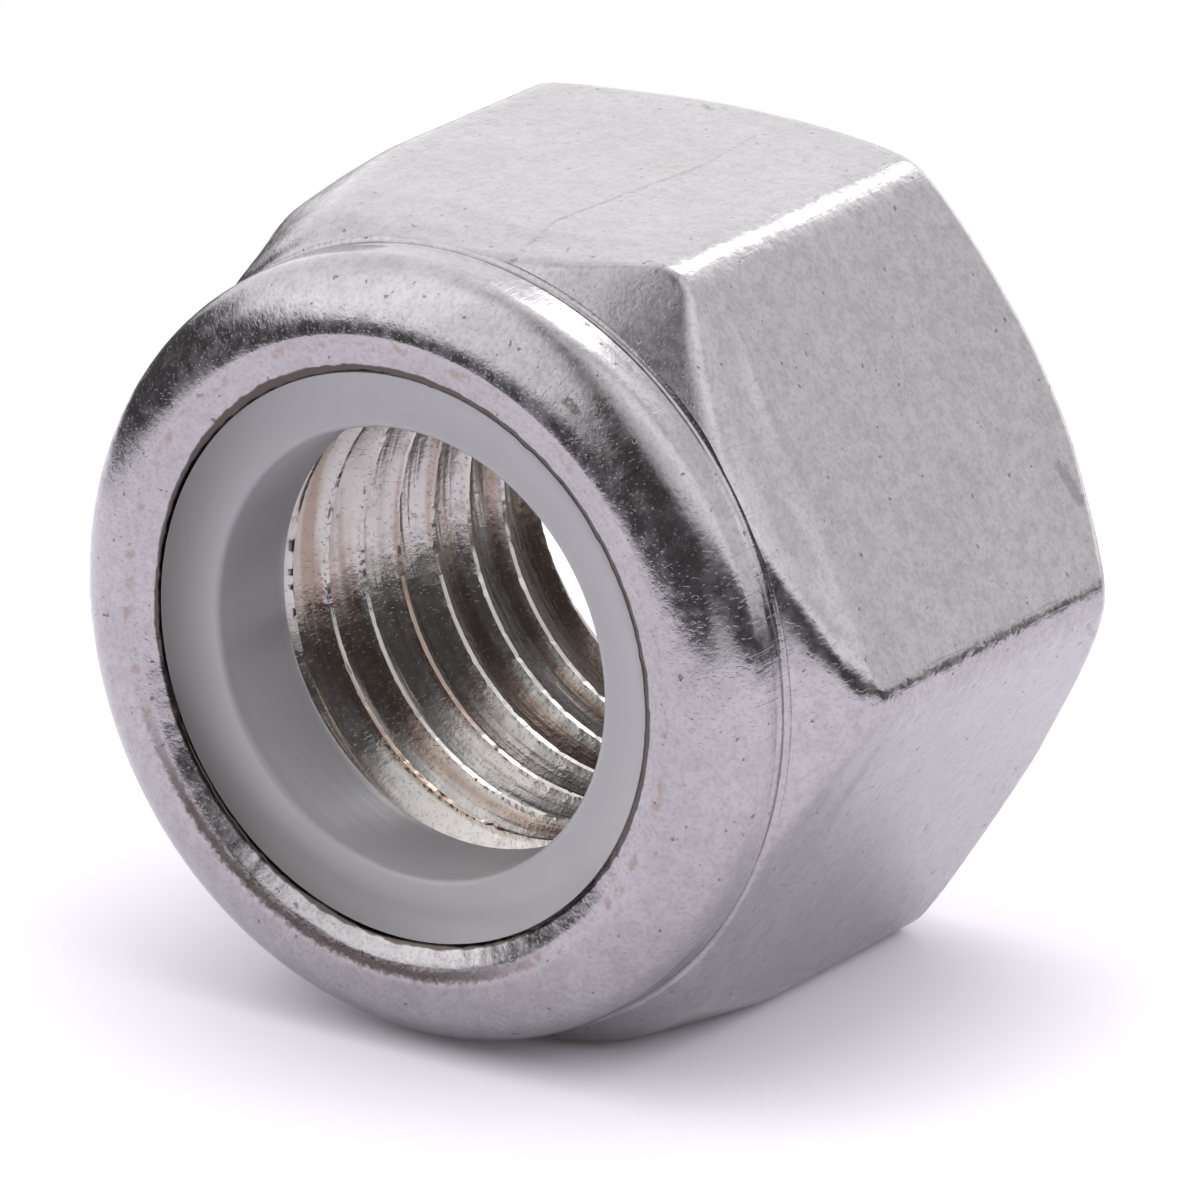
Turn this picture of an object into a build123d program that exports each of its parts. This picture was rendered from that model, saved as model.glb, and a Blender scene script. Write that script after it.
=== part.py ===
from build123d import *
import math
import os

os.makedirs("parts", exist_ok=True)

# Frame: the origin is the nut's centre. The thread axis is Y, the bearing face looks towards +Y
# and the collar with the ring towards -Y. The nut lies on one hex flat, so two flats are level.

# Driving dimensions in millimetres and degrees: a 3/8-24 nut, 9/16 in across flats
across_flats = 14.2875
total_height = 11.0
thread_minor_radius = 4.25

# Hex and its two rounded-off ends
corner_radius = 1.12
bearing_face_radius = 6.8
bearing_chamfer_angle = 40
hex_height = 9.38
shoulder_angle = 46
shoulder_arc_radius = 2.4
shoulder_arc_sweep = 26

# Collar rolled over the ring
ledge_width = 0.11
collar_radius = 7.0
collar_wall = 0.9
collar_roll_radius = 1.12
lip_radius = 5.12
lip_slope_drop = 0.13
lip_edge_height = 0.34

# Nylon ring and its seat
ring_thickness = 2.0
ring_bore_radius = 4.02
ring_edge_radius = 0.28
ring_corner_radius = 0.3

# Countersinks at the two ends of the thread
bearing_countersink_radius = 5.03
seat_countersink_radius = 4.72

# Places along the axis
bearing_y = total_height / 2
top_y = -total_height / 2
ledge_y = bearing_y - hex_height
roll_centre_y = top_y + collar_roll_radius
lip_edge_y = top_y + lip_slope_drop
ring_front_y = lip_edge_y + lip_edge_height
seat_y = ring_front_y + ring_thickness
thread_start_y = seat_y + seat_countersink_radius - thread_minor_radius
thread_end_y = bearing_y - (bearing_countersink_radius - thread_minor_radius)

# Places across the axis
flat_distance = across_flats / 2
ledge_radius = collar_radius + ledge_width
seat_radius = collar_radius - collar_wall
roll_centre_radius = collar_radius - collar_roll_radius
ring_corner_start = seat_radius - ring_corner_radius

# Bearing chamfer: a cone that runs out past the hex corners
beyond_corner = flat_distance / math.cos(math.radians(30)) + 0.5
chamfer_slope = math.tan(math.radians(bearing_chamfer_angle))
chamfer_end_y = bearing_y - (beyond_corner - bearing_face_radius) * chamfer_slope

# Shoulder: an arc that leaves the ledge at the shoulder angle and steepens towards the corners
shoulder_start = (math.cos(math.radians(shoulder_angle)), math.sin(math.radians(shoulder_angle)))

# Hex nut body: a hex prism cut to the turned outside, which is also the rolled collar
with BuildPart() as hex_body:
    with BuildSketch(Plane.XZ.offset(-bearing_y)):
        hex_outline = RegularPolygon(radius=flat_distance, side_count=6, major_radius=False)
        fillet(hex_outline.vertices(), radius=corner_radius)
    extrude(amount=total_height)

    # Outside: rounded shoulder, bearing chamfer, ledge at the collar's root, collar, lip
    with BuildSketch(Plane.XY) as outside:
        with BuildLine():
            shoulder = JernArc(
                start=(ledge_radius, ledge_y),
                tangent=shoulder_start,
                radius=shoulder_arc_radius,
                arc_size=shoulder_arc_sweep,
            )
            Polyline(
                shoulder @ 1,
                (beyond_corner, chamfer_end_y),
                (bearing_face_radius, bearing_y),
                (0, bearing_y),
            )
            Polyline((ledge_radius, ledge_y), (collar_radius, ledge_y), (collar_radius, roll_centre_y))
            RadiusArc(
                (collar_radius, roll_centre_y),
                (roll_centre_radius, top_y),
                collar_roll_radius,
            )
            Polyline(
                (roll_centre_radius, top_y),
                (lip_radius, lip_edge_y),
                (0, lip_edge_y),
                (0, bearing_y),
            )
        make_face()
    revolve(axis=Axis.Y, mode=Mode.INTERSECT)

    # Room inside: mouth of the lip, ring seat, countersink, thread hole, bearing countersink
    with BuildSketch(Plane.XY) as inside:
        with BuildLine():
            Polyline(
                (0, top_y),
                (lip_radius, top_y),
                (lip_radius, ring_front_y),
                (ring_corner_start, ring_front_y),
            )
            RadiusArc(
                (ring_corner_start, ring_front_y),
                (seat_radius, ring_front_y + ring_corner_radius),
                -ring_corner_radius,
            )
            Polyline(
                (seat_radius, ring_front_y + ring_corner_radius),
                (seat_radius, seat_y),
                (seat_countersink_radius, seat_y),
                (thread_minor_radius, thread_start_y),
                (thread_minor_radius, thread_end_y),
                (bearing_countersink_radius, bearing_y),
                (0, bearing_y),
                (0, top_y),
            )
        make_face()
    revolve(axis=Axis.Y, mode=Mode.SUBTRACT)
hex_body.part.label = "hex_body"

# Nylon ring: fills the seat under the lip, its bore a little smaller than the thread hole
with BuildPart() as nylon_ring:
    with BuildSketch(Plane.XY) as ring_section:
        with BuildLine():
            Line((ring_bore_radius, seat_y), (ring_bore_radius, ring_front_y + ring_edge_radius))
            RadiusArc(
                (ring_bore_radius, ring_front_y + ring_edge_radius),
                (ring_bore_radius + ring_edge_radius, ring_front_y),
                -ring_edge_radius,
            )
            Line((ring_bore_radius + ring_edge_radius, ring_front_y), (ring_corner_start, ring_front_y))
            RadiusArc(
                (ring_corner_start, ring_front_y),
                (seat_radius, ring_front_y + ring_corner_radius),
                -ring_corner_radius,
            )
            Polyline(
                (seat_radius, ring_front_y + ring_corner_radius),
                (seat_radius, seat_y),
                (ring_bore_radius, seat_y),
            )
        make_face()
    revolve(axis=Axis.Y)
nylon_ring.part.label = "nylon_ring"

export_step(hex_body.part, "parts/hex_body.step")
export_step(nylon_ring.part, "parts/nylon_ring.step")
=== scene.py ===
import math

import bpy
import numpy as np
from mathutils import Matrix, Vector, noise


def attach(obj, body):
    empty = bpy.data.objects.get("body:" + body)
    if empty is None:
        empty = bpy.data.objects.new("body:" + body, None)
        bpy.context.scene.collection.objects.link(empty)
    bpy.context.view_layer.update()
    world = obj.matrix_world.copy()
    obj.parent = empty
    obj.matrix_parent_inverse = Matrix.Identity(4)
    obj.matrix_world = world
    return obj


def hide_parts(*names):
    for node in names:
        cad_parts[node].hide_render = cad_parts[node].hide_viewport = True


# Nylon insert lock nut. The thread axis is Y with the collar at -Y, and the nut lies on one flat.
# Sizes in the dictionaries are in millimetres and degrees, and mm turns them into metres.

mm = 0.001
cutThreshold = 0.00005 * mm
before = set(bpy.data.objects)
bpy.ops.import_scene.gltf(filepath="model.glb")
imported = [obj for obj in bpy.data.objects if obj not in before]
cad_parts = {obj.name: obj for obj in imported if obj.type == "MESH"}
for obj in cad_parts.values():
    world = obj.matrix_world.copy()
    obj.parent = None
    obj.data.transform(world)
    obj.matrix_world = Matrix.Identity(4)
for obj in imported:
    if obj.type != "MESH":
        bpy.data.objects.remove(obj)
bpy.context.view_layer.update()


# Helpers

def clearSelection():
    if bpy.context.object and bpy.context.object.mode != "OBJECT":
        bpy.ops.object.mode_set(mode="OBJECT")
    bpy.ops.object.select_all(action="DESELECT")


def pickOnly(thing):
    clearSelection()
    thing.select_set(True)
    bpy.context.view_layer.objects.active = thing


def applyModifier(thing, modifier):
    pickOnly(thing)
    bpy.ops.object.modifier_apply(modifier=modifier.name)


def readPoints(thing):
    points = np.zeros(len(thing.data.vertices) * 3)
    thing.data.vertices.foreach_get("co", points)
    return points.reshape(-1, 3) / mm


def writePoints(thing, points):
    thing.data.vertices.foreach_set("co", (np.asarray(points) * mm).ravel())
    thing.data.update()


def evenRun(start, end, step):
    count = max(1, round(math.dist(start, end) / step))
    shares = [i / count for i in range(count)]
    return [(start[0] + (end[0] - start[0]) * s, start[1] + (end[1] - start[1]) * s) for s in shares]


def arcRun(centre, radius, startAngle, endAngle, count):
    angles = [math.radians(startAngle + (endAngle - startAngle) * i / count) for i in range(count)]
    return [(centre[0] + radius * math.cos(a), centre[1] + radius * math.sin(a)) for a in angles]


# A closed section drawn in the XY plane and spun once round the thread axis
def spinSection(name, section, steps):
    mesh = bpy.data.meshes.new(name)
    edges = [(i, (i + 1) % len(section)) for i in range(len(section))]
    mesh.from_pydata([(r * mm, y * mm, 0) for r, y in section], edges, [])
    thing = bpy.data.objects.new(name, mesh)
    bpy.context.scene.collection.objects.link(thing)
    pickOnly(thing)
    bpy.ops.object.mode_set(mode="EDIT")
    bpy.ops.mesh.select_all(action="SELECT")
    bpy.ops.mesh.spin(steps=steps, angle=math.tau, center=(0, 0, 0), axis=(0, 1, 0))
    bpy.ops.mesh.select_all(action="SELECT")
    bpy.ops.mesh.remove_doubles(threshold=0.002 * mm)
    bpy.ops.mesh.normals_make_consistent(inside=False)
    bpy.ops.object.mode_set(mode="OBJECT")
    return thing


def softMin(first, second, reach):
    share = np.clip(0.5 + 0.5 * (second - first) / reach, 0, 1)
    return second * (1 - share) + first * share - reach * share * (1 - share)


def smoothStep(low, high, value):
    share = np.clip((value - low) / (high - low), 0, 1)
    return share * share * (3 - 2 * share)


def noiseAt(points, scale, seedShift=0.0):
    return np.array([noise.noise(Vector(p) * scale + Vector((seedShift, 0, 0))) for p in points])


def angleGap(angle, centre):
    return np.abs((angle - centre + 180) % 360 - 180)


# Steel body: turned outside, six pressed flats, rolled collar, ring seat and threaded bore

body = {
    "columns": 360,
    "gather": 0.6,
    "acrossFlats": 14.2875,
    "cornerRadius": 0.80,
    "cornerWear": 0.045,
    "wearSpread": 0.60,
    "bearingY": 5.5,
    "bearingRadius": 6.8,
    "chamferAngle": 37.5,
    "beyondCorner": 8.7488,
    "middleY": 0.5,
    "ledgeY": -3.88,
    "ledgeRadius": 7.11,
    "shoulderSlope": 1.08,
    "shoulderAngle": 46,
    "shoulderArc": 2.4,
    "shoulderSweep": 26,
    "shoulderRows": 14,
    "collarRadius": 7.0,
    "collarStart": -0.3,
    "rollWidth": 1.46,
    "rollHeight": 1.0,
    "rollStart": 11.6,
    "rollSink": 0.016,
    "rollRows": 28,
    "crestRadius": 5.771,
    "crestArc": 0.45,
    "crestStart": 6,
    "crestRows": 6,
    "crestEnd": (-0.02, 0.003),
    "coneAngle": 10.4,
    "bevelRadius": 5.44,
    "bevelAngle": 20,
    "bevelEase": 0.05,
    "topY": -5.5,
    "lipRadius": 5.10,
    "lipEdge": 0.03,
    "lipCorner": (0.01, 0.02),
    "lipWallStart": 0.05,
    "ringFrontY": -5.03,
    "ringCorner": 0.3,
    "ringCornerRows": 4,
    "seatRadius": 6.1,
    "seatY": -3.03,
    "seatStep": 5.4,
    "seatSink": 4.72,
    "boreRadius": 4.25,
    "bearingSink": 5.03,
    "smoothAngle": 33,
}

# How far apart the rows of points lie along each part of the section
rowGap = {
    "bearingFace": 0.3,
    "chamfer": 0.12,
    "backFlats": 0.4,
    "flats": 0.16,
    "shoulder": 0.07,
    "collar": 0.09,
    "cone": 0.07,
    "bevel": 0.06,
    "mouth": 0.1,
    "seat": 0.35,
    "sink": 0.12,
    "bore": 0.6,
}

# Worn edges of the flats and places that are pressed or shaved, by angle round the axis,
# then the uneven lip and the chipped crests
wear = {
    "fromRadius": 7.05,
    "margin": 0.005,
    "sharpCentre": 30,
    "sharpHalf": 46,
    "sharpFade": (-8, 14),
    "sharpExtra": 0.9,
    "shoulderReach": 0.04,
    "unevenScale": 5.0,
    "unevenStretch": 0.3,
    "unevenShare": 0.5,
    "edgeReach": 0.15,
    "cornerReach": 0.12,
    "cornerFade": (2, 14),
    "tipReach": 0.18,
    "tipPlace": (0, 8),
    "flankReach": 0.22,
    "flankPlace": (7, 8),
    "bandY": -2.25,
    "bandAngle": 3.2,
    "bandFade": (1, 9),
    "shave": 0.26,
    "shavePlace": (134, 17),
    "shaveDepths": (-2.0, -3.2),
    "shaveRadii": (7.0, 7.25),
    "shaveEndY": -1.5,
    "lipRadii": (5.0, 5.6),
    "lipFadeEnd": 5.15,
    "lipMargin": 0.02,
    "lipFineScale": 26.0,
    "lipFine": 0.03,
    "lipSlowScale": 4.0,
    "lipSlow": 0.035,
    "crestRadii": (4.2, 4.3),
    "crestDepths": (-2.9, 4.9),
    "chipScale": 7.0,
    "chipFrom": 0.15,
    "chipShare": 0.05,
}

thread = {
    "pitch": 1.0583,
    "majorRadius": 4.80,
    "crestHalf": 0.055,
    "crestEase": 0.012,
    "rootHalf": 0.06,
    "rootDrop": 0.03,
    "rootEase": (0.005, 0.035),
    "flankBend": 1.25,
    "flankEase": 0.02,
    "flankRows": 5,
    "innerRadius": 4.2,
    "crestPlace": -0.994,
    "turnsBefore": 5,
    "turns": 13,
    "steps": 204,
    "from": -4.35,
    "to": 6.1,
    "merge": 0.002,
}


chamferRun = body["beyondCorner"] - body["bearingRadius"]
chamferEndY = body["bearingY"] - chamferRun * math.tan(math.radians(body["chamferAngle"]))


# The shoulder is a straight cone at the two sharp corners and bends over to blunt ones elsewhere
def bluntShoulder():
    start = math.radians(body["shoulderAngle"])
    arc, rows = body["shoulderArc"], body["shoulderRows"]
    run = []
    for i in range(rows + 1):
        turned = start + math.radians(body["shoulderSweep"] * i / rows)
        r = body["ledgeRadius"] + arc * (math.sin(turned) - math.sin(start))
        y = body["ledgeY"] + arc * (math.cos(start) - math.cos(turned))
        run.append((r, y))
    return run + [(body["beyondCorner"], chamferEndY)]


def sharpShoulder():
    rise = (body["beyondCorner"] - body["ledgeRadius"]) * body["shoulderSlope"]
    return [(body["ledgeRadius"], body["ledgeY"]), (body["beyondCorner"], body["ledgeY"] + rise)]


# A shallow groove and a fine bead where the collar leaves the shoulder
beadRun = [
    (7.11, 0.0), (7.085, -0.004), (7.055, -0.014), (7.03, -0.032), (7.014, -0.058), (7.008, -0.09),
    (7.012, -0.125), (7.012, -0.155), (7.007, -0.20), (7.0, -0.25),
]


def bodySection():
    b = body
    bearingY, ledgeY, cornerX = b["bearingY"], b["ledgeY"], b["beyondCorner"]
    lipRadius, seatRadius, boreRadius = b["lipRadius"], b["seatRadius"], b["boreRadius"]
    front, corner, seatY = b["ringFrontY"], b["ringCorner"], b["seatY"]
    root, tip = sharpShoulder()
    rollX = b["collarRadius"] - b["rollWidth"]
    rollY = b["topY"] - b["rollSink"] + b["rollHeight"]
    rollShape = b["rollWidth"] / b["rollHeight"]
    roll = arcRun((rollX, rollY), b["rollHeight"], 0, b["rollStart"] - 90, b["rollRows"])
    crestCentre = (b["crestRadius"], b["topY"] + b["crestArc"])
    crest = arcRun(crestCentre, b["crestArc"], b["crestStart"] - 90, -90 - b["coneAngle"], b["crestRows"])
    coneSlope, bevelSlope = (math.tan(math.radians(b[key])) for key in ("coneAngle", "bevelAngle"))
    coneStart = (crest[-1][0] + b["crestEnd"][0], crest[-1][1] + b["crestEnd"][1])
    coneEndX = b["bevelRadius"] + b["bevelEase"]
    coneEnd = (coneEndX, coneStart[1] + (coneStart[0] - coneEndX) * coneSlope)
    bevelStart = (b["bevelRadius"], coneEnd[1] + b["bevelEase"] * (coneSlope + bevelSlope) / 2)
    edgeX = lipRadius + b["lipEdge"]
    edgeY = bevelStart[1] + (bevelStart[0] - edgeX) * bevelSlope
    boreStart = (boreRadius, seatY + b["seatSink"] - boreRadius)
    boreEnd = (boreRadius, bearingY - b["bearingSink"] + boreRadius)
    cornerStart = (seatRadius - corner, front)

    section = evenRun((b["bearingSink"], bearingY), (b["bearingRadius"], bearingY), rowGap["bearingFace"])
    section += evenRun((b["bearingRadius"], bearingY), (cornerX, chamferEndY), rowGap["chamfer"])
    section += evenRun((cornerX, chamferEndY), (cornerX, b["middleY"]), rowGap["backFlats"])
    section += evenRun((cornerX, b["middleY"]), tip, rowGap["flats"])
    section += evenRun(tip, root, rowGap["shoulder"])
    section += [(r, ledgeY + y) for r, y in beadRun]
    collarStart = (b["collarRadius"], ledgeY + b["collarStart"])
    section += evenRun(collarStart, (b["collarRadius"], rollY), rowGap["collar"])
    section += [(rollX + (r - rollX) * rollShape, y) for r, y in roll] + crest
    section += evenRun(coneStart, coneEnd, rowGap["cone"]) + [coneEnd]
    section += evenRun(bevelStart, (edgeX, edgeY), rowGap["bevel"])
    section += [(edgeX, edgeY), (lipRadius + b["lipCorner"][0], edgeY + b["lipCorner"][1])]
    section += evenRun((lipRadius, edgeY + b["lipWallStart"]), (lipRadius, front), rowGap["mouth"])
    section += evenRun((lipRadius, front), cornerStart, rowGap["seat"])
    section += arcRun((cornerStart[0], front + corner), corner, -90, 0, b["ringCornerRows"])
    section += [(seatRadius, front + corner), (seatRadius, seatY), (b["seatStep"], seatY)]
    section += evenRun((b["seatSink"], seatY), boreStart, rowGap["sink"])
    section += evenRun(boreStart, boreEnd, rowGap["bore"])
    section += evenRun(boreEnd, (b["bearingSink"], bearingY), rowGap["sink"])
    return section


# Distance from the axis to the hex outline, its corners rounded and worn, at each angle
def hexReach(angle):
    half = body["acrossFlats"] / 2
    rounding = body["cornerRadius"]
    fromCorner = np.mod(angle + math.pi / 6, math.pi / 3) - math.pi / 6
    centre = (half - rounding) / math.cos(math.pi / 6)
    tangent = math.atan2(rounding * 0.5, centre + rounding * math.cos(math.pi / 6))
    flat = half / np.cos(math.pi / 6 - np.abs(fromCorner))
    inside = np.maximum(rounding ** 2 - (centre * np.sin(fromCorner)) ** 2, 0)
    corner = centre * np.cos(fromCorner) + np.sqrt(inside)
    reach = np.where(np.abs(fromCorner) < tangent, corner, flat)
    worn = body["cornerWear"] * np.exp(-(reach * fromCorner / body["wearSpread"]) ** 2)
    return reach - worn, np.abs(np.degrees(fromCorner))


def humpAt(angle, place):
    centre, spread = place
    return np.exp(-(angleGap(np.degrees(angle), centre) / spread) ** 2)


# The six flats are pressed into the turned blank, with soft worn edges all round them
def pressFlats(blank):
    w = wear
    points = readPoints(blank)
    angle = np.arctan2(points[:, 2], points[:, 0])
    angle -= body["gather"] * np.sin(6 * angle) / 6
    turned = np.hypot(points[:, 0], points[:, 2])
    y = points[:, 1]
    reach, fromCorner = hexReach(angle)

    blunt = np.array(bluntShoulder())
    fadeStart, fadeEnd = (w["sharpHalf"] + fade for fade in w["sharpFade"])
    bluntShare = smoothStep(fadeStart, fadeEnd, angleGap(np.degrees(angle), w["sharpCentre"]))
    bluntReach = np.interp(y, blunt[:, 1], blunt[:, 0]) + w["sharpExtra"] * (1 - bluntShare)
    cone = np.where(y < chamferEndY, softMin(turned, bluntReach, w["shoulderReach"]), turned)

    circle = np.column_stack([np.cos(angle), y * w["unevenStretch"], np.sin(angle)])
    uneven = noiseAt(circle, w["unevenScale"]) * w["unevenShare"]
    bandDrop = np.maximum(w["bandY"] + uneven - y, 0) * math.tan(math.radians(w["bandAngle"]))
    bandDrop = bandDrop * smoothStep(*w["bandFade"], fromCorner)
    cornerShare = smoothStep(*w["cornerFade"], fromCorner)
    softness = w["cornerReach"] + (w["edgeReach"] - w["cornerReach"]) * cornerShare
    softness = softness + w["tipReach"] * humpAt(angle, w["tipPlace"])
    softness = softness + w["flankReach"] * humpAt(angle, w["flankPlace"])
    pressed = softMin(cone, reach - bandDrop, softness * (1 + uneven))

    shave = w["shave"] * humpAt(angle, w["shavePlace"])
    shave = shave * smoothStep(*w["shaveDepths"], y) * smoothStep(*w["shaveRadii"], cone)
    pressed = pressed - np.where(y < w["shaveEndY"], shave, 0)
    outside = (turned > w["fromRadius"]) & (y > body["ledgeY"] - w["margin"])
    radius = np.where(outside, pressed, turned)
    writePoints(blank, np.column_stack([radius * np.cos(angle), y, radius * np.sin(angle)]))


# The tap: one pitch of thread wound round the axis, cut square at both ends
def makeTap():
    t = thread
    half = t["pitch"] / 2
    flankRun = half - t["rootHalf"] - t["flankEase"] - t["crestHalf"]
    flankDepth = t["majorRadius"] - t["rootDrop"] - body["boreRadius"]
    groove = [(t["innerRadius"], 0.0), (t["innerRadius"], t["crestHalf"] - t["crestEase"])]
    for i in range(t["flankRows"] + 1):
        share = i / t["flankRows"]
        sink = flankRun * share ** t["flankBend"]
        groove.append((body["boreRadius"] + flankDepth * share, t["crestHalf"] + sink))
    groove.append((t["majorRadius"] - t["rootEase"][0], half - t["rootEase"][1]))
    groove.append((t["majorRadius"], half))
    rising = [(r, t["pitch"] - y) for r, y in groove[:-1]][::-1]
    run = groove + rising
    startY = t["crestPlace"] - t["turnsBefore"] * t["pitch"]
    mesh = bpy.data.meshes.new("tap")
    edges = [(i, i + 1) for i in range(len(run) - 1)]
    mesh.from_pydata([(r * mm, (y + startY) * mm, 0) for r, y in run], edges, [])
    tap = bpy.data.objects.new("tap", mesh)
    bpy.context.scene.collection.objects.link(tap)
    winding = tap.modifiers.new("winding", "SCREW")
    winding.axis = "Y"
    winding.angle = math.tau
    winding.screw_offset = t["pitch"] * mm
    winding.iterations = t["turns"]
    winding.steps = t["steps"]
    winding.render_steps = t["steps"]
    winding.use_merge_vertices = True
    winding.merge_threshold = t["merge"] * mm
    applyModifier(tap, winding)
    bpy.ops.object.mode_set(mode="EDIT")
    bpy.ops.mesh.select_all(action="SELECT")
    bpy.ops.mesh.remove_doubles(threshold=t["merge"] * mm)
    for place, direction in ((t["from"], -1), (t["to"], 1)):
        bpy.ops.mesh.select_all(action="SELECT")
        bpy.ops.mesh.bisect(
            plane_co=(0, place * mm, 0),
            plane_no=(0, direction, 0),
            use_fill=True,
            clear_outer=True,
            threshold=cutThreshold,
        )
    bpy.ops.mesh.select_all(action="SELECT")
    bpy.ops.mesh.normals_make_consistent(inside=False)
    bpy.ops.object.mode_set(mode="OBJECT")
    return tap


def cutThread(blank, tap):
    cut = blank.modifiers.new("tapping", "BOOLEAN")
    cut.operation = "DIFFERENCE"
    cut.solver = "MANIFOLD"
    cut.object = tap
    applyModifier(blank, cut)
    blank.data.materials.clear()
    bpy.data.objects.remove(tap)


# Chipped thread crests and an uneven rolled lip
def wearBody(nut):
    w = wear
    points = readPoints(nut)
    x, y, z = points.T
    angle = np.arctan2(z, x)
    radius = np.hypot(x, z)
    circle = np.column_stack([np.cos(angle), y * 0, np.sin(angle)])
    lipInner, lipOuter = w["lipRadii"]
    lip = (radius < lipOuter) & (radius > lipInner) & (y < body["ringFrontY"] + w["lipMargin"])
    lipMove = w["lipFine"] * noiseAt(circle, w["lipFineScale"])
    lipMove = lipMove + w["lipSlow"] * noiseAt(circle, w["lipSlowScale"], 7.0)
    lipMove = lipMove * smoothStep(lipOuter, w["lipFadeEnd"], radius)
    crestInner, crestOuter = w["crestRadii"]
    crestFrom, crestTo = w["crestDepths"]
    crest = (radius < crestOuter) & (radius > crestInner) & (y > crestFrom) & (y < crestTo)
    chips = np.maximum(noiseAt(points, w["chipScale"], 3.0) - w["chipFrom"], 0) * w["chipShare"]
    radius = radius + np.where(lip, lipMove, 0) + np.where(crest, chips, 0)
    writePoints(nut, np.column_stack([radius * np.cos(angle), y, radius * np.sin(angle)]))


def finishShading(thing, angle):
    pickOnly(thing)
    bpy.ops.object.shade_smooth_by_angle(angle=math.radians(angle))


nutBody = spinSection("nutBody", bodySection(), body["columns"])
print("blank", len(nutBody.data.vertices))
pressFlats(nutBody)
print("flats pressed")
cutThread(nutBody, makeTap())
wearBody(nutBody)
finishShading(nutBody, body["smoothAngle"])
print("thread cut", len(nutBody.data.vertices))


# Nylon ring in its seat

ring = {
    "columns": 224,
    "bore": 4.02,
    "edge": 0.12,
    "edgeRows": 8,
    "backEdge": 0.12,
    "backEdgeRows": 5,
    "clearance": 0.004,
    "faceEdge": 5.07,
    "faceRise": 0.24,
    "faceBend": 2.2,
    "faceRows": 12,
    "underLip": (0.008, 0.02),
    "frontStart": 0.01,
    "cornerRows": 6,
    "frontGap": 0.12,
    "wallGap": 0.4,
    "backGap": 0.25,
    "boreGap": 0.12,
    "smoothAngle": 40,
}


def ringSection():
    g = ring
    front = body["ringFrontY"] + g["clearance"]
    back = body["seatY"] - g["clearance"]
    outer = body["seatRadius"] - g["clearance"]
    corner, bore = body["ringCorner"], g["bore"]
    edgeX, edgeY = g["faceEdge"], front - g["faceRise"]
    faceStart = bore + g["edge"]
    section = []
    for i in range(g["faceRows"]):
        share = i / g["faceRows"]
        rise = g["faceRise"] * share ** g["faceBend"]
        section.append((faceStart + (edgeX - faceStart) * share, front - rise))
    section += [(edgeX, edgeY), (edgeX + g["underLip"][0], edgeY + g["underLip"][1])]
    section += evenRun((edgeX + g["frontStart"], front), (outer - corner, front), g["frontGap"])
    section += arcRun((outer - corner, front + corner), corner, -90, 0, g["cornerRows"])
    section += evenRun((outer, front + corner), (outer, back), g["wallGap"])
    section += evenRun((outer, back), (bore + g["backEdge"], back), g["backGap"])
    backCentre = (bore + g["backEdge"], back - g["backEdge"])
    section += arcRun(backCentre, g["backEdge"], 90, 180, g["backEdgeRows"])
    section += evenRun((bore, back - g["backEdge"]), (bore, front + g["edge"]), g["boreGap"])
    section += arcRun((faceStart, front + g["edge"]), g["edge"], 180, 270, g["edgeRows"])
    return section


nylonRing = spinSection("nylonRing", ringSection(), ring["columns"])
finishShading(nylonRing, ring["smoothAngle"])
print("ring", len(nylonRing.data.vertices))


# Materials

def newMaterial(name):
    material = bpy.data.materials.new(name)
    material.use_nodes = True
    tree = material.node_tree
    return material, tree, tree.nodes["Principled BSDF"]


def addNode(tree, kind, settings=None, inputs=None):
    node = tree.nodes.new(kind)
    for key, value in (settings or {}).items():
        setattr(node, key, value)
    for key, value in (inputs or {}).items():
        if isinstance(value, bpy.types.NodeSocket):
            tree.links.new(value, node.inputs[key])
        else:
            node.inputs[key].default_value = value
    return node


def mathNode(tree, operation, first, second=0.0):
    return addNode(tree, "ShaderNodeMath", {"operation": operation}, {0: first, 1: second}).outputs[0]


def plus(tree, first, *others):
    for other in others:
        first = mathNode(tree, "ADD", first, other)
    return first


def minus(tree, first, second):
    return mathNode(tree, "SUBTRACT", first, second)


def times(tree, first, *others):
    for other in others:
        first = mathNode(tree, "MULTIPLY", first, other)
    return first


def larger(tree, first, second):
    return mathNode(tree, "MAXIMUM", first, second)


# How far a value is from the middle, whichever side it lies on
def apart(tree, value, middle):
    return mathNode(tree, "ABSOLUTE", minus(tree, value, middle))


def vectorNode(tree, operation, first, second=(0, 0, 0), output="Vector"):
    inputs = {0: first, 1: second}
    return addNode(tree, "ShaderNodeVectorMath", {"operation": operation}, inputs).outputs[output]


def rangeNode(tree, value, low, high, toLow=0.0, toHigh=1.0, smooth=True):
    kind = "SMOOTHSTEP" if smooth else "LINEAR"
    inputs = {"Value": value, "From Min": low, "From Max": high, "To Min": toLow, "To Max": toHigh}
    return addNode(tree, "ShaderNodeMapRange", {"interpolation_type": kind}, inputs).outputs["Result"]


def mixColour(tree, share, first, second):
    node = addNode(tree, "ShaderNodeMix", {"data_type": "RGBA"})
    for key, value in (("Factor", share), ("A", first), ("B", second)):
        socket = [s for s in node.inputs if s.name == key and s.enabled][0]
        if isinstance(value, bpy.types.NodeSocket):
            tree.links.new(value, socket)
        else:
            socket.default_value = value
    return [s for s in node.outputs if s.enabled][0]


def millimetres(tree, turn=(0, 0, 0), stretch=(1, 1, 1)):
    where = addNode(tree, "ShaderNodeTexCoord").outputs["Object"]
    inputs = {"Vector": where, "Rotation": turn, "Scale": tuple(s / mm for s in stretch)}
    return addNode(tree, "ShaderNodeMapping", None, inputs).outputs[0]


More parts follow.
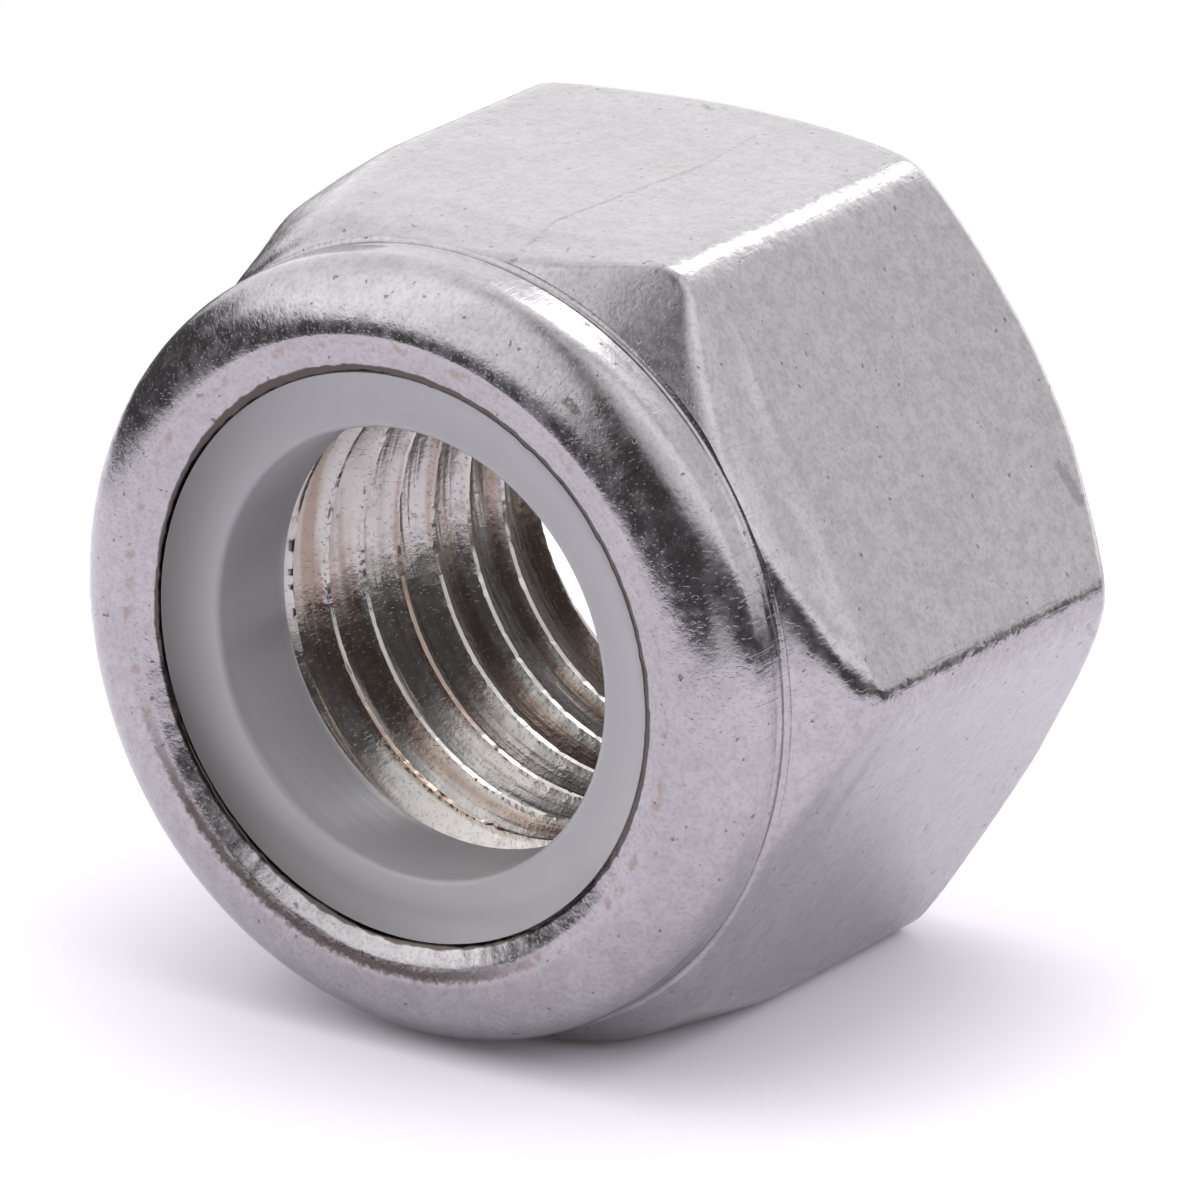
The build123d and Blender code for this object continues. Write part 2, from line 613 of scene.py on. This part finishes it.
# The place in millimetres, its distance and direction from the thread axis, and its Y
def placeNodes(tree):
    where = millimetres(tree)
    axes = addNode(tree, "ShaderNodeSeparateXYZ", None, {"Vector": where}).outputs
    flat = addNode(tree, "ShaderNodeCombineXYZ", None, {"X": axes["X"], "Y": axes["Z"]}).outputs[0]
    radius = vectorNode(tree, "LENGTH", flat, output="Value")
    around = vectorNode(tree, "NORMALIZE", flat)
    return where, radius, around, axes["Y"]


def noiseNode(tree, where, scale, detail=2.0, roughness=0.5):
    inputs = {"Vector": where, "Scale": scale, "Detail": detail, "Roughness": roughness}
    return addNode(tree, "ShaderNodeTexNoise", None, inputs).outputs["Fac"]


# Noises are scale, detail and roughness; ranges are where an effect starts and is full, and some
# say how much it then gives. Depths are along Y, radii are from the thread axis.
steel = {
    "colour": (0.425, 0.406, 0.424, 1),
    "shade": (0.385, 0.366, 0.384, 1),
    # The dark colour of pits, nicks and mottle, also used for the painted shade in the gap at the mouth
    "pitAndShadeColour": (0.09, 0.075, 0.07, 1),
    "brown": (0.24, 0.155, 0.11, 1),
    "lowLipDark": (0.075, 0.058, 0.05, 1),
    "boreTint": (0.45, 0.428, 0.405, 1),
    "boreTintShare": 0.85,
    "roughRange": (0.75, 1.25, 0.13, 0.25),
    "ridgeRough": 0.04,
    "bumpDepth": 0.008,
    "grain": (11.0, 2.0, 0.65),
    "dimple": (3.0, 2.0, 0.55),
    "broad": (0.6, 2.0, 0.5),
    "mottle": (3.4, 4.0, 0.62),
    "specks": (6.0, 1.5, 0.4),
    "rings": (14.0, 2.0, 0.7),
    "streaks": (0.8, 0.0, 0.5),
    "streakTurn": (0.3, 0.5, 1.1),
    "streakStretch": (22, 1.2, 22),
    "latheStretch": 7.0,
    "latheAround": (1.2, 1.2, 1.2),
    "tooling": (1.6, 1.0),
    "patches": (0.35, 2.0),
    "boreRadii": (4.95, 4.9),
    "faceDepths": (5.46, 5.49),
    "lipDepths": (-5.2, -5.3),
    "ridgeRadii": (7.72, 7.95),
    "ridgeDepths": (-3.2, -2.6),
    "speckRange": (0.725, 0.765),
    "speckLossInBore": 0.7,
    "speckTint": 0.6,
    "scratchRange": (0.66, 0.74),
    "broadTint": (0.3, 0.7, 0.0, 0.6),
    "mottleTint": (0.60, 0.38, 0.0, 0.12),
    "grainTint": (0.55, 0.34, 0.0, 0.17),
    "boreStain": (0.48, 0.62, 0.0, 0.7),
    "creaseRadius": 5.62,
    "creaseRange": (0.18, 0.03),
    "creaseStain": (0.48, 0.66, 0.0, 0.5),
    # Painted shade with some grime: a dark line in the gap between the lip and the ring, round the upper
    # side of the mouth
    "gapShadeAndGrimeSide": (0.6, 0.8, 0),
    "gapShadeAndGrimeReach": (-0.5, 0.5, 5.15, 5.235),
    "gapShadeAndGrimeWaver": 0.10,
    "gapShadeAndGrimeRange": (0.02, 0.06),
    "gapShadeAndGrimeRadii": (5.0, 5.05),
    # A dark band painted round the lower side of the lip
    "lowLipSide": (-0.34, -0.94, 0),
    "lowLipReach": (0.55, 0.90, 0.0, 0.88),
    "lowLipRadius": 5.60,
    "lowLipWaver": 0.22,
    "lowLipRange": (0.16, 0.04),
    "markWaver": 0.3,
    "markEdge": 0.35,
    "markTint": 0.65,
    "faintMark": 0.6,
    "faintBreaks": (0.44, 0.52, 0.25, 1.0),
    "grainHeight": 0.35,
    "dimpleHeight": 0.8,
    "ridgeHeight": 2.5,
    "speckHeight": 0.7,
    "scratchHeight": 0.16,
    "ringHeight": 1.6,
}


# Nicks and long scratches, each from one point to another on the surface, with width and strength
marks = [
    ((1.25, -3.95, 7.02), (1.40, -3.80, 7.08), 0.10, 1.0),
    ((1.30, -3.60, 7.07), (0.92, -1.90, 7.14), 0.06, 0.55),
    ((0.92, -1.90, 7.14), (1.09, 0.36, 7.14), 0.06, 0.6),
    ((1.09, 0.36, 7.14), (1.23, 2.01, 7.14), 0.06, 0.6),
    ((1.23, 2.01, 7.14), (1.02, 3.92, 7.14), 0.05, 0.45),
    ((0.55, 4.65, 7.14), (2.11, 4.88, 7.14), 0.045, 0.4),
    ((-0.66, 4.87, 7.14), (-0.46, 4.73, 7.14), 0.09, 0.9),
    ((4.58, -2.12, 6.35), (5.24, -2.09, 5.22), 0.045, 0.45),
    ((5.24, -2.09, 5.22), (5.92, -2.31, 4.04), 0.045, 0.4),
    ((7.05, 4.50, 2.10), (7.36, 4.60, 1.55), 0.20, 0.6),
    ((7.99, 4.01, -0.45), (7.75, 4.53, -0.87), 0.07, 0.6),
    ((3.52, -5.33, 5.37), (3.71, -5.35, 5.20), 0.11, 0.9),
    ((3.99, -5.09, 5.44), (4.21, -5.15, 5.20), 0.11, 0.9),
    ((4.54, -5.46, 4.05), (4.91, -5.21, 4.42), 0.05, 0.7),
    ((-4.01, -5.50, 4.05), (-4.05, -5.50, 4.03), 0.07, 0.8),
]


def markNode(tree, where, start, end, width, strength):
    first = Vector(start)
    along = Vector(end) - first
    offset = vectorNode(tree, "SUBTRACT", where, first)
    share = vectorNode(tree, "DOT_PRODUCT", offset, along / along.length_squared, "Value")
    share = addNode(tree, "ShaderNodeClamp", None, {"Value": share}).outputs[0]
    inputs = {0: along, "Scale": share}
    reach = addNode(tree, "ShaderNodeVectorMath", {"operation": "SCALE"}, inputs).outputs[0]
    gap = vectorNode(tree, "DISTANCE", offset, reach, "Value")
    return rangeNode(tree, gap, width, width * steel["markEdge"], 0.0, strength)


def markNodes(tree, where, made):
    waver = times(tree, minus(tree, made["grain"], 0.5), steel["markWaver"])
    shaken = vectorNode(tree, "ADD", where, waver)
    clear = faint = 0.0
    for start, end, width, strength in marks:
        mark = markNode(tree, shaken, start, end, width, strength)
        if strength < steel["faintMark"]:
            faint = larger(tree, faint, mark)
        else:
            clear = larger(tree, clear, mark)
    broken = rangeNode(tree, made["dimple"], *steel["faintBreaks"])
    return larger(tree, clear, times(tree, faint, broken))


# Noises for the steel; lathe marks and patches in the bore run round the axis
def steelNoises(tree, where, radius, around, depth, bore):
    made = {}
    for name in ("grain", "dimple", "broad", "mottle"):
        made[name] = noiseNode(tree, where, *steel[name])
    speck = rangeNode(tree, noiseNode(tree, where, *steel["specks"]), *steel["speckRange"])
    kept = minus(tree, 1.0, times(tree, bore, steel["speckLossInBore"]))
    made["speck"] = times(tree, speck, kept)
    outward = addNode(tree, "ShaderNodeCombineXYZ", None, {"X": radius}).outputs[0]
    made["rings"] = noiseNode(tree, outward, *steel["rings"])
    streaked = millimetres(tree, steel["streakTurn"], steel["streakStretch"])
    made["scratch"] = rangeNode(tree, noiseNode(tree, streaked, *steel["streaks"]), *steel["scratchRange"])
    stretched = times(tree, depth, steel["latheStretch"])
    along = addNode(tree, "ShaderNodeCombineXYZ", None, {"Z": stretched}).outputs[0]
    inputs = {0: around, 1: steel["latheAround"], 2: along}
    lathe = addNode(tree, "ShaderNodeVectorMath", {"operation": "MULTIPLY_ADD"}, inputs).outputs[0]
    inward = times(tree, radius, steel["latheStretch"])
    for name in ("tooling", "patches"):
        scale, detail = steel[name]
        inputs = {"Vector": lathe, "W": inward, "Scale": scale, "Detail": detail}
        made[name] = addNode(tree, "ShaderNodeTexNoise", {"noise_dimensions": "4D"}, inputs).outputs["Fac"]
    return made


# Brown patches in the bore and the lip's crease, painted shade with some grime in the gap at the mouth, a
# dark band painted low on the lip
def stainsAndPaintedShade(tree, colour, made, radius, around, depth, bore):
    lip = rangeNode(tree, depth, *steel["lipDepths"])
    inBore = times(tree, bore, rangeNode(tree, made["patches"], *steel["boreStain"]))
    crease = rangeNode(tree, apart(tree, radius, steel["creaseRadius"]), *steel["creaseRange"])
    crease = times(tree, crease, lip, rangeNode(tree, made["mottle"], *steel["creaseStain"]))
    colour = mixColour(tree, larger(tree, inBore, crease), colour, steel["brown"])
    colour = mixColour(tree, times(tree, made["speck"], steel["speckTint"]), colour, steel["pitAndShadeColour"])

    # Painted shade with some grime in the gap between the lip and the ring at the top of the mouth
    upper = vectorNode(tree, "DOT_PRODUCT", around, steel["gapShadeAndGrimeSide"], "Value")
    mouth = rangeNode(tree, upper, *steel["gapShadeAndGrimeReach"])
    mouth = plus(tree, mouth, times(tree, made["dimple"], steel["gapShadeAndGrimeWaver"]))
    gapShadeAndGrime = rangeNode(tree, minus(tree, mouth, radius), *steel["gapShadeAndGrimeRange"])
    gapShadeAndGrime = times(tree, gapShadeAndGrime, rangeNode(tree, radius, *steel["gapShadeAndGrimeRadii"]))
    colour = mixColour(tree, gapShadeAndGrime, colour, steel["pitAndShadeColour"])

    # A dark band painted round the lower side of the lip
    lower = vectorNode(tree, "DOT_PRODUCT", around, steel["lowLipSide"], "Value")
    waver = times(tree, minus(tree, made["grain"], 0.5), steel["lowLipWaver"])
    lowLipDark = apart(tree, plus(tree, radius, waver), steel["lowLipRadius"])
    lowLipDark = times(tree, rangeNode(tree, lowLipDark, *steel["lowLipRange"]), lip)
    lowLipDark = times(tree, lowLipDark, rangeNode(tree, lower, *steel["lowLipReach"]))
    return mixColour(tree, lowLipDark, colour, steel["lowLipDark"])


def makeSteel():
    material, tree, shader = newMaterial("tumbledSteel")
    where, radius, around, depth = placeNodes(tree)
    bore = rangeNode(tree, radius, *steel["boreRadii"])
    face = rangeNode(tree, depth, *steel["faceDepths"])
    ridge = rangeNode(tree, radius, *steel["ridgeRadii"])
    ridge = times(tree, ridge, rangeNode(tree, depth, *steel["ridgeDepths"]))
    made = steelNoises(tree, where, radius, around, depth, bore)

    broad = rangeNode(tree, made["broad"], *steel["broadTint"])
    colour = mixColour(tree, broad, steel["colour"], steel["shade"])
    for name in ("mottle", "grain"):
        tint = rangeNode(tree, made[name], *steel[name + "Tint"])
        colour = mixColour(tree, tint, colour, steel["pitAndShadeColour"])
    colour = mixColour(tree, times(tree, bore, steel["boreTintShare"]), colour, steel["boreTint"])
    colour = stainsAndPaintedShade(tree, colour, made, radius, around, depth, bore)
    nicks = times(tree, markNodes(tree, where, made), steel["markTint"])
    colour = mixColour(tree, nicks, colour, steel["pitAndShadeColour"])
    tree.links.new(colour, shader.inputs["Base Color"])

    shader.inputs["Metallic"].default_value = 1.0
    rough = rangeNode(tree, plus(tree, made["dimple"], made["mottle"]), *steel["roughRange"])
    rough = plus(tree, rough, times(tree, ridge, steel["ridgeRough"]))
    tree.links.new(rough, shader.inputs["Roughness"])

    height = plus(
        tree,
        times(tree, made["grain"], steel["grainHeight"]),
        times(tree, made["dimple"], steel["dimpleHeight"]),
        times(tree, made["dimple"], ridge, steel["ridgeHeight"]),
        times(tree, made["tooling"], bore),
        times(tree, made["rings"], face, steel["ringHeight"]),
    )
    height = minus(tree, height, times(tree, made["speck"], steel["speckHeight"]))
    height = minus(tree, height, times(tree, made["scratch"], steel["scratchHeight"]))
    inputs = {"Height": height, "Strength": 1.0, "Distance": steel["bumpDepth"] * mm}
    bump = addNode(tree, "ShaderNodeBump", None, inputs)
    tree.links.new(bump.outputs[0], shader.inputs["Normal"])
    return material


nylon = {
    "colour": (0.395, 0.386, 0.402, 1),
    "shade": (0.365, 0.356, 0.37, 1),
    # Painted shade: the ring's face grows darker towards the lip on its lower left, where the lip shades
    # it
    "paintedLipShade": (0.09, 0.082, 0.08, 1),
    "lipShadeSide": (-0.906, -0.423, 0),
    "lipShadeReach": (-0.3, 0.9),
    "lipShadeDepths": (-4.9, -4.98),
    "lipShadeRadii": (4.1, 5.05, 0.12, 0.8),
    "roughness": 0.24,
    "throughShare": 0.3,
    "throughDepth": 0.35,
    "cloud": (0.8, 2.0, 0.5),
    "fine": (9.0, 2.0, 0.5),
    "turned": (1.0, 2.0, 0.5),
    "turnedStretch": (0.15, 6, 0.15),
    "fineHeight": 0.3,
    "bumpStrength": 0.5,
    "bumpDepth": 0.006,
}


def makeNylon():
    material, tree, shader = newMaterial("mouldedNylon")
    where, radius, around, depth = placeNodes(tree)
    # Painted shade on the ring's face near the lip, on the lower left
    side = vectorNode(tree, "DOT_PRODUCT", around, nylon["lipShadeSide"], "Value")
    side = rangeNode(tree, side, *nylon["lipShadeReach"])
    front = rangeNode(tree, depth, *nylon["lipShadeDepths"])
    paintedLipShade = times(tree, rangeNode(tree, radius, *nylon["lipShadeRadii"], smooth=False), side, front)
    cloud = noiseNode(tree, where, *nylon["cloud"])
    colour = mixColour(tree, cloud, nylon["colour"], nylon["shade"])
    colour = mixColour(tree, paintedLipShade, colour, nylon["paintedLipShade"])
    tree.links.new(colour, shader.inputs["Base Color"])
    shader.inputs["Roughness"].default_value = nylon["roughness"]
    shader.inputs["Subsurface Weight"].default_value = nylon["throughShare"]
    shader.inputs["Subsurface Radius"].default_value = (1.0, 1.0, 1.0)
    shader.inputs["Subsurface Scale"].default_value = nylon["throughDepth"] * mm
    fine = times(tree, noiseNode(tree, where, *nylon["fine"]), nylon["fineHeight"])
    turned = noiseNode(tree, millimetres(tree, stretch=nylon["turnedStretch"]), *nylon["turned"])
    inputs = {
        "Height": plus(tree, fine, turned),
        "Strength": nylon["bumpStrength"],
        "Distance": nylon["bumpDepth"] * mm,
    }
    bump = addNode(tree, "ShaderNodeBump", None, inputs)
    tree.links.new(bump.outputs[0], shader.inputs["Normal"])
    return material


nutBody.data.materials.append(makeSteel())
nylonRing.data.materials.append(makeNylon())
for piece, node, slot in ((nutBody, "hex_body", "steel"), (nylonRing, "nylon_ring", "nylon")):
    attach(piece, "root")
    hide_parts(node)
print("materials set")


# Floor, light tent and camera

white = (1, 1, 1, 1)

# A softbox is its azimuth, height and distance, then its width, height and brightness
stage = {
    "floorLeft": -60,
    "floorRight": 110,
    "floorFront": -60,
    "floorBack": 28,
    "floorZ": -7.15,
    "floorColour": (0.84, 0.812, 0.882, 1),
    "floorPale": (0.84, 0.81, 0.882, 1),
    "floorGrain": (0.5, 2.0, 0.5),
    "floorRoughness": 0.6,
    "floorLift": 0.03,
    "dark": (0.095, 0.09, 0.092, 1),
    "shelfEdge": (1.5, -1.5, 0.0, 0.8),
    "zenith": (62.0, 86.0, 1.0, 0.6),
    "behindFloor": (-10.0, -12.0),
    "backSoftbox": (186, 46, 450, 120, 200, 2.8),
    "sideSoftbox": (97, 35, 450, 300, 300, 1.3),
    "topSoftbox": (180, 88, 450, 320, 320, 1.65),
}


def makeFloor():
    clearSelection()
    left, right, front, back = (stage["floor" + side] for side in ("Left", "Right", "Front", "Back"))
    middle = ((left + right) / 2, (front + back) / 2, stage["floorZ"])
    bpy.ops.mesh.primitive_plane_add(size=1, location=[value * mm for value in middle])
    floor = bpy.context.object
    bpy.ops.transform.resize(value=((right - left) * mm, (back - front) * mm, 1))
    bpy.ops.object.transform_apply(location=True, rotation=True, scale=True)
    floor.name = "floor"
    material, tree, shader = newMaterial("whiteTable")
    grain = noiseNode(tree, millimetres(tree), *stage["floorGrain"])
    colour = mixColour(tree, grain, stage["floorColour"], stage["floorPale"])
    tree.links.new(colour, shader.inputs["Base Color"])
    shader.inputs["Roughness"].default_value = stage["floorRoughness"]
    shader.inputs["Specular IOR Level"].default_value = 0.0
    path = addNode(tree, "ShaderNodeLightPath").outputs
    mirrored = larger(tree, path["Is Glossy Ray"], path["Is Transmission Ray"])
    seen = larger(tree, path["Is Camera Ray"], mirrored)
    shader.inputs["Emission Color"].default_value = white
    tree.links.new(times(tree, seen, stage["floorLift"]), shader.inputs["Emission Strength"])
    floor.data.materials.append(material)


# Round the nut, by azimuth: how bright the tent is, the height where its dark gap ends, how
# softly it ends, and the height up to which there is light again below the gap
tentStops = [
    (-180, 1.8, -9, 4, -10),
    (-145, 1.47, -7, 4, -10),
    (-118, 1.45, 4, 4, -10),
    (-102, 1.47, 15, 4, -10),
    (-86, 1.55, 18, 4, -10),
    (-60, 1.8, 14, 4, -10),
    (-42, 1.95, 5, 3, -10),
    (-24, 1.5, 5, 3, -10),
    (-12, 1.35, 8, 5, -10),
    (2, 1.3, 26, 12, -10),
    (14, 0.66, 39, 12, -10),
    (30, 0.32, 48, 12, -8),
    (46, 0.68, 34, 10, 4),
    (62, 1.05, 28, 8, 4),
    (90, 1.35, 25, 6, -2),
    (105, 1.6, 20, 6, -10),
    (128, 1.58, 10, 5, -10),
    (143, 1.08, -3, 2, -10),
    (156, 1.13, -4, 2, -10),
    (170, 1.8, -9, 4, -10),
    (180, 1.8, -9, 4, -10),
]

# What one full channel of the ramp stands for, and the height at which its heights start
ramp = {
    "level": 3.0,
    "height": 100.0,
    "start": -10.0,
    "softness": 20.0,
}


# The table as one colour ramp: brightness, gap height and softness, with the lower light in alpha
def tentRamp(tree, share):
    node = addNode(tree, "ShaderNodeValToRGB", None, {"Fac": share})
    stops = node.color_ramp.elements
    node.color_ramp.interpolation = "EASE"
    stops.remove(stops[-1])
    for i, (azimuth, level, gap, softness, shelf) in enumerate(tentStops):
        place = (azimuth + 180) / 360
        stop = stops[0] if i == 0 else stops.new(place)
        stop.position = place
        gap, shelf = ((height - ramp["start"]) / ramp["height"] for height in (gap, shelf))
        stop.color = (level / ramp["level"], gap, softness / ramp["softness"], shelf)
    parts = addNode(tree, "ShaderNodeSeparateColor", None, {"Color": node.outputs["Color"]}).outputs
    level = times(tree, parts["Red"], ramp["level"])
    softness = times(tree, parts["Blue"], ramp["softness"])
    gap = plus(tree, times(tree, parts["Green"], ramp["height"]), ramp["start"])
    shelf = plus(tree, times(tree, node.outputs["Alpha"], ramp["height"]), ramp["start"])
    return level, gap, softness, shelf


def makeTent():
    world = bpy.context.scene.world or bpy.data.worlds.new("tent")
    bpy.context.scene.world = world
    world.use_nodes = True
    tree = world.node_tree
    background = tree.nodes["Background"]
    where = addNode(tree, "ShaderNodeTexCoord").outputs["Generated"]
    axes = addNode(tree, "ShaderNodeSeparateXYZ", None, {"Vector": where}).outputs
    azimuth = mathNode(tree, "ARCTAN2", axes["X"], times(tree, axes["Y"], -1.0))
    share = rangeNode(tree, azimuth, -math.pi, math.pi, smooth=False)
    height = times(tree, mathNode(tree, "ARCSINE", axes["Z"]), math.degrees(1))
    level, gap, softness, shelf = tentRamp(tree, share)
    rise = mathNode(tree, "DIVIDE", minus(tree, height, gap), softness)
    above = rangeNode(tree, rise, -1.0, 1.0)
    below = rangeNode(tree, minus(tree, height, shelf), *stage["shelfEdge"])
    bright = times(tree, level, rangeNode(tree, height, *stage["zenith"]))
    tones = {"Red": bright, "Green": bright, "Blue": bright}
    tone = addNode(tree, "ShaderNodeCombineColor", None, tones).outputs[0]
    inside = mixColour(tree, above, mixColour(tree, below, stage["dark"], white), tone)
    path = addNode(tree, "ShaderNodeLightPath").outputs
    mirrored = larger(tree, path["Is Glossy Ray"], path["Is Transmission Ray"])
    mirrored = times(tree, mirrored, rangeNode(tree, height, *stage["behindFloor"]))
    seen = mixColour(tree, larger(tree, path["Is Camera Ray"], mirrored), inside, white)
    tree.links.new(seen, background.inputs["Color"])
    background.inputs["Strength"].default_value = 1.0


def towards(azimuth, elevation):
    a, e = math.radians(azimuth), math.radians(elevation)
    return Vector((math.sin(a) * math.cos(e), -math.cos(a) * math.cos(e), math.sin(e)))


def addSoftbox(name):
    azimuth, elevation, distance, width, height, level = stage[name]
    place = towards(azimuth, elevation) * distance * mm
    light = bpy.data.lights.new(name, "AREA")
    light.shape = "RECTANGLE"
    light.size = width * mm
    light.size_y = height * mm
    light.energy = level * math.pi * width * height * mm * mm
    lamp = bpy.data.objects.new(name, light)
    bpy.context.scene.collection.objects.link(lamp)
    lamp.location = place
    lamp.rotation_euler = place.to_track_quat("Z", "Y").to_euler()
    lamp.visible_camera = False
    return lamp


camera = {
    "azimuth": 34.92,
    "elevation": 19.57,
    "distance": 226.2,
    "target": (0, 0.142, 0),
    "lens": 391.2,
    "shiftX": 0.0151,
    "shiftY": -0.0230,
    "sensor": 36,
    "clipStart": 0.01,
}


def makeCamera():
    back = towards(camera["azimuth"], camera["elevation"])
    data = bpy.data.cameras.new("camera")
    data.sensor_width = camera["sensor"]
    data.lens = camera["lens"]
    data.shift_x = camera["shiftX"]
    data.shift_y = camera["shiftY"]
    data.clip_start = camera["clipStart"]
    eye = bpy.data.objects.new("camera", data)
    bpy.context.scene.collection.objects.link(eye)
    eye.location = (Vector(camera["target"]) + back * camera["distance"]) * mm
    eye.rotation_euler = back.to_track_quat("Z", "Y").to_euler()
    bpy.context.scene.camera = eye


makeFloor()
makeTent()
addSoftbox("backSoftbox").visible_diffuse = False
addSoftbox("sideSoftbox").visible_glossy = False
addSoftbox("topSoftbox").visible_glossy = False
makeCamera()
bpy.context.scene.view_settings.view_transform = "Standard"
print("stage set")
